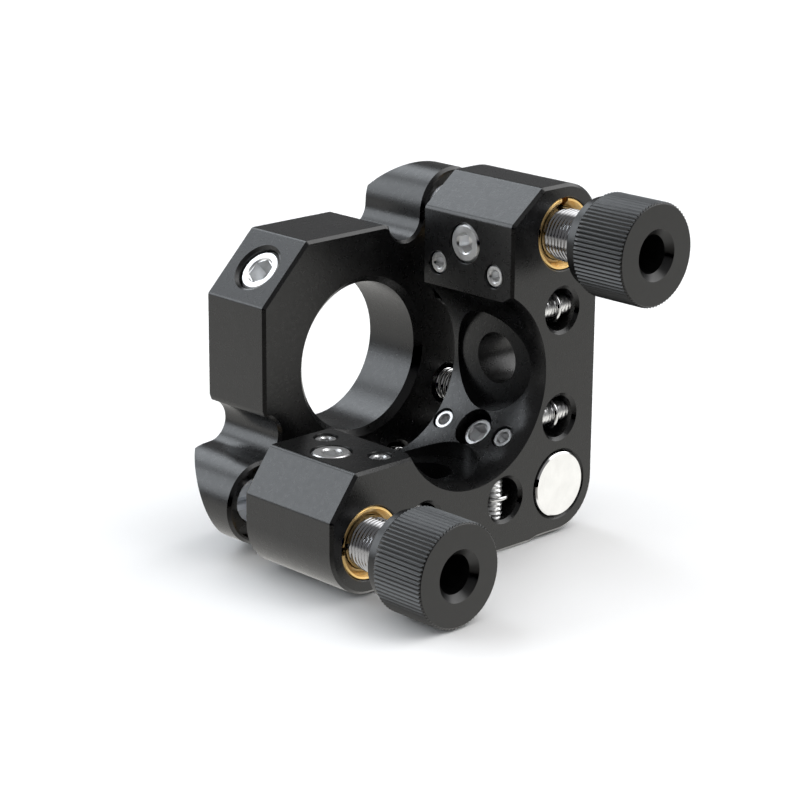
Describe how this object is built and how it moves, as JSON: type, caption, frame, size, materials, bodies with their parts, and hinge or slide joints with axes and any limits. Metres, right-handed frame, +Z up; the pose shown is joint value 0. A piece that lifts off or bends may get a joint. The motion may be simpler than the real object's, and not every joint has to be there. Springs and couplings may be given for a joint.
{
  "type": "kinematic mirror mount",
  "caption": "Small kinematic mirror mount: a square rear frame open at one corner, a sprung front plate with a round optic bore, and knurled knobs on fine screws for tip and tilt.",
  "frame": {"origin": "under the middle of the mount's bounding box, on the plane of the mounting pad on the frame's lower face", "axes": "+Z up from the mounting pad; +Y from the knobs through the frame to the front plate, along the optic's bore; +X towards the frame's solid side, seen with the knobs in front"},
  "size_m": [0.0302, 0.0302, 0.0303],
  "materials": {
    "anodised": "bead-blasted black anodised",
    "knob_black": "black anodised, straight knurl",
    "brass": "turned",
    "steel": "stainless, as machined",
    "ball_steel": "polished",
    "spring_steel": "bright wire",
    "sapphire": "polished",
    "nylon": "as moulded"
  },
  "bodies": {
    "frame": {"rear_frame": "anodised", "lower_bushing": "brass", "upper_bushing": "brass", "pivot_pin": "ball_steel", "lower_lock_screw": "steel", "lower_set_screw_1": "steel", "lower_set_screw_2": "steel", "upper_lock_screw": "steel", "upper_set_screw_1": "steel", "upper_set_screw_2": "steel", "pivot_lock_screw": "steel", "pivot_set_screw_1": "steel", "pivot_set_screw_2": "steel", "spring_screw_1": "steel", "spring_screw_2": "steel", "spring_screw_3": "steel", "spring_screw_4": "steel", "return_spring_1": "spring_steel", "return_spring_2": "spring_steel", "return_spring_3": "spring_steel", "return_spring_4": "spring_steel"},
    "pivot_ball": {"pivot_ball": "ball_steel"},
    "front_plate": {"front_plate": "anodised", "pivot_cone_seat": "sapphire", "lower_vee_seat": "sapphire", "upper_flat_seat": "sapphire", "spring_dowel_1": "steel", "spring_dowel_2": "steel", "spring_dowel_3": "steel", "spring_dowel_4": "steel", "optic_set_screw": "steel", "optic_nylon_tip": "nylon"},
    "lower_tip": {"lower_ball_tip": "ball_steel"},
    "lower_adjuster": {"lower_adjuster_screw": "steel", "lower_knob": "knob_black"},
    "upper_tip": {"upper_ball_tip": "ball_steel"},
    "upper_adjuster": {"upper_adjuster_screw": "steel", "upper_knob": "knob_black"}
  },
  "joints": [
    {"name": "plate_yaw", "type": "hinge", "parent": "frame", "child": "pivot_ball", "pos_m": [0.0108, 0.0074, 0.0044], "axis": [0, 0, -1], "range_deg": [-3.72, 3.72], "deforming": ["return_spring_3", "return_spring_4"]},
    {"name": "plate_pitch", "type": "hinge", "parent": "pivot_ball", "child": "front_plate", "pos_m": [0.0108, 0.0074, 0.0044], "axis": [-1, 0, 0], "range_deg": [-3.72, 3.72], "deforming": ["return_spring_1", "return_spring_2"]},
    {"name": "lower_travel", "type": "slide", "parent": "frame", "child": "lower_tip", "axis": [0, 1, 0], "range_m": [-0.0014, 0.0014]},
    {"name": "lower_knob_turn", "type": "hinge", "parent": "lower_tip", "child": "lower_adjuster", "pos_m": [-0.0108, -0.0052, 0.0044], "axis": [0, 1, 0], "range_deg": [-1440, 1440]},
    {"name": "upper_travel", "type": "slide", "parent": "frame", "child": "upper_tip", "axis": [0, 1, 0], "range_m": [-0.0014, 0.0014]},
    {"name": "upper_knob_turn", "type": "hinge", "parent": "upper_tip", "child": "upper_adjuster", "pos_m": [0.0108, -0.0052, 0.026], "axis": [0, 1, 0], "range_deg": [-1440, 1440]}
  ],
  "couplings": [
    {"joint": "lower_knob_turn", "follows": "lower_travel", "rad_per_m": 17952},
    {"joint": "plate_yaw", "follows": "lower_travel", "rad_per_m": 46.296},
    {"joint": "upper_knob_turn", "follows": "upper_travel", "rad_per_m": 17952},
    {"joint": "plate_pitch", "follows": "upper_travel", "rad_per_m": 46.296}
  ]
}
